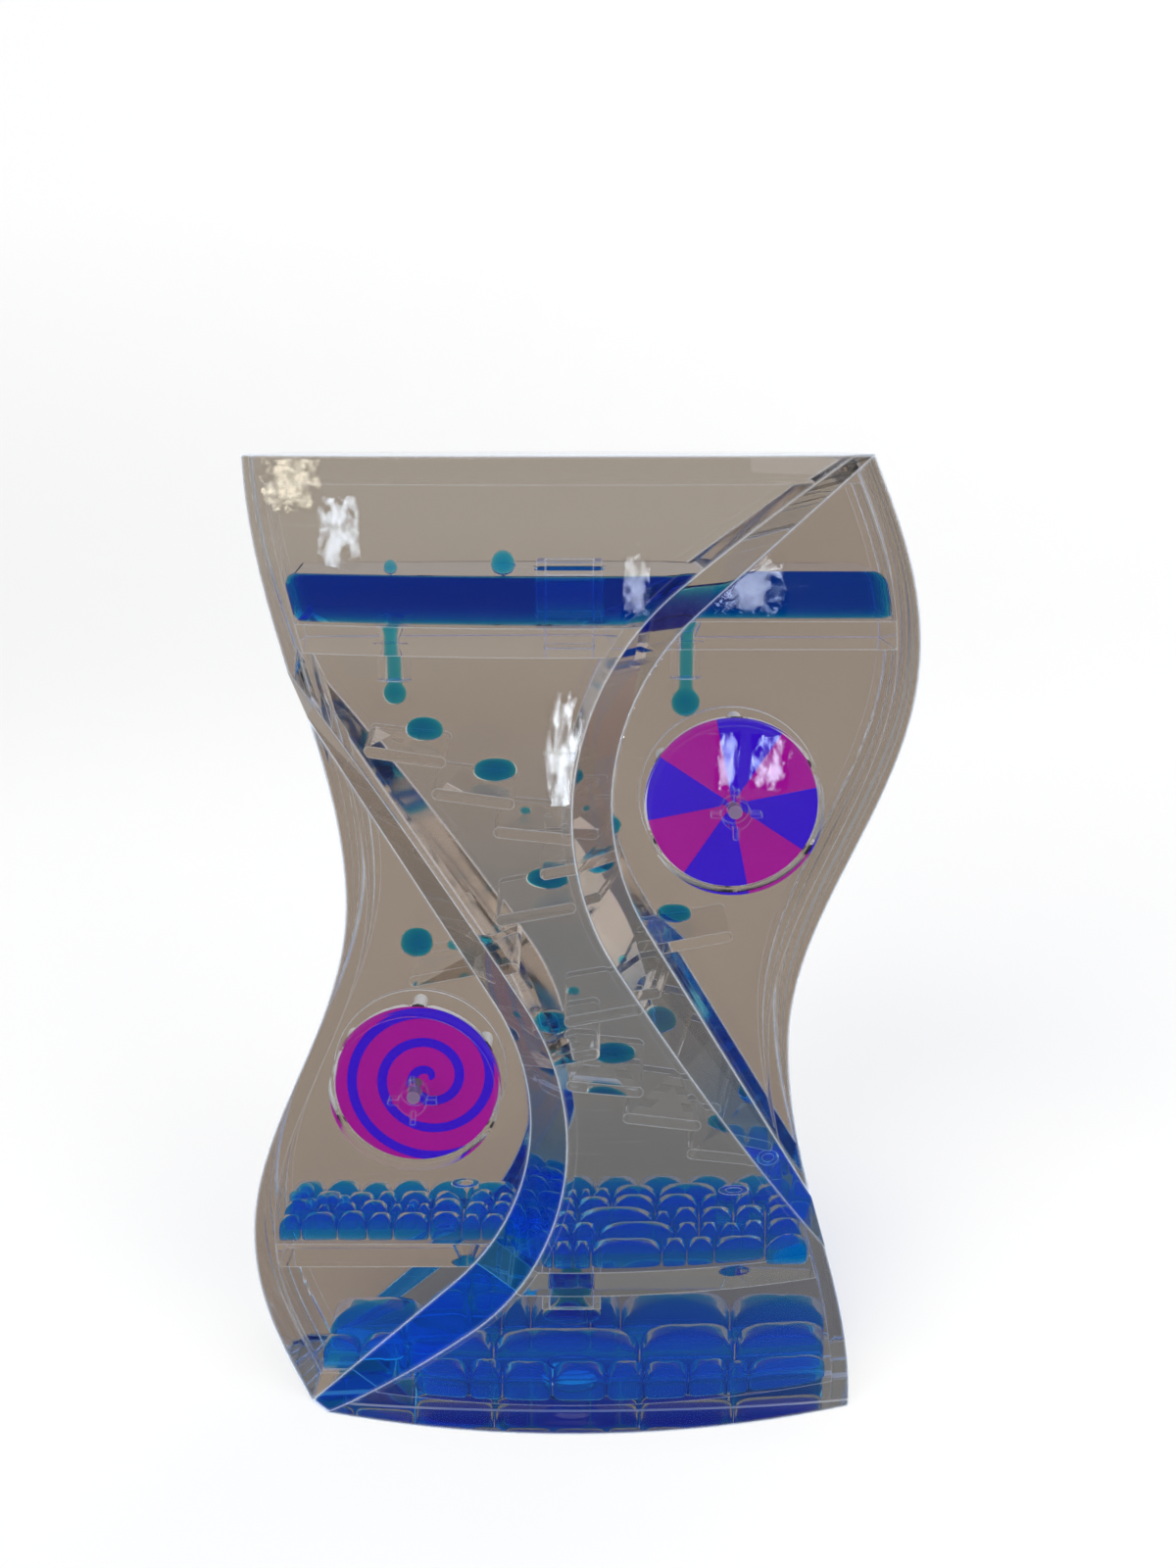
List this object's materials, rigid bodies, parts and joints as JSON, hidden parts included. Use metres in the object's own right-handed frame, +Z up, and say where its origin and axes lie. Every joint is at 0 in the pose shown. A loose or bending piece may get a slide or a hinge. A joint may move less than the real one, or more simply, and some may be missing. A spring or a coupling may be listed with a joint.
{
  "type": "liquid motion timer",
  "caption": "Clear S-sided liquid motion timer: blue water drips from nozzles over zigzag ledges, past a pinwheel disc and a spiral disc that turn on axles, into pools below.",
  "frame": {"origin": "middle of the bottom face, on the surface it stands on", "axes": "+X to the viewer's right, +Y away from the viewer, +Z up along the height"},
  "size_m": [0.0968, 0.0426, 0.145],
  "materials": {
    "clear_acrylic": "clear polished acrylic",
    "blue_water": "clear blue-dyed water",
    "pinwheel_print": "violet and magenta print",
    "spiral_print": "magenta print with a violet spiral",
    "white_plastic": "white moulded plastic"
  },
  "bodies": {
    "case": {"front_shell": "clear_acrylic", "rear_shell": "clear_acrylic", "upper_partition": "clear_acrylic", "lower_partition": "clear_acrylic", "fill_plug": "clear_acrylic", "pinwheel_axle": "clear_acrylic", "spiral_wheel_axle": "clear_acrylic", "upper_pool": "blue_water", "middle_pool": "blue_water", "bottom_pool": "blue_water", "left_stream": "blue_water", "right_stream": "blue_water", "drain_stream": "blue_water", "ledge_drops": "blue_water"},
    "pinwheel": {"pinwheel_lens": "clear_acrylic", "pinwheel_label": "pinwheel_print", "pinwheel_rotor": "white_plastic", "pinwheel_flange": "clear_acrylic"},
    "spiral_wheel": {"spiral_wheel_lens": "clear_acrylic", "spiral_wheel_label": "spiral_print", "spiral_wheel_rotor": "white_plastic", "spiral_wheel_flange": "clear_acrylic"}
  },
  "joints": [
    {"name": "pinwheel_spin", "type": "hinge", "parent": "case", "child": "pinwheel", "pos_m": [0.0238, 0, 0.0948], "axis": [0, -1, 0], "continuous": true},
    {"name": "spiral_wheel_spin", "type": "hinge", "parent": "case", "child": "spiral_wheel", "pos_m": [-0.0238, 0, 0.0502], "axis": [0, -1, 0], "continuous": true}
  ]
}
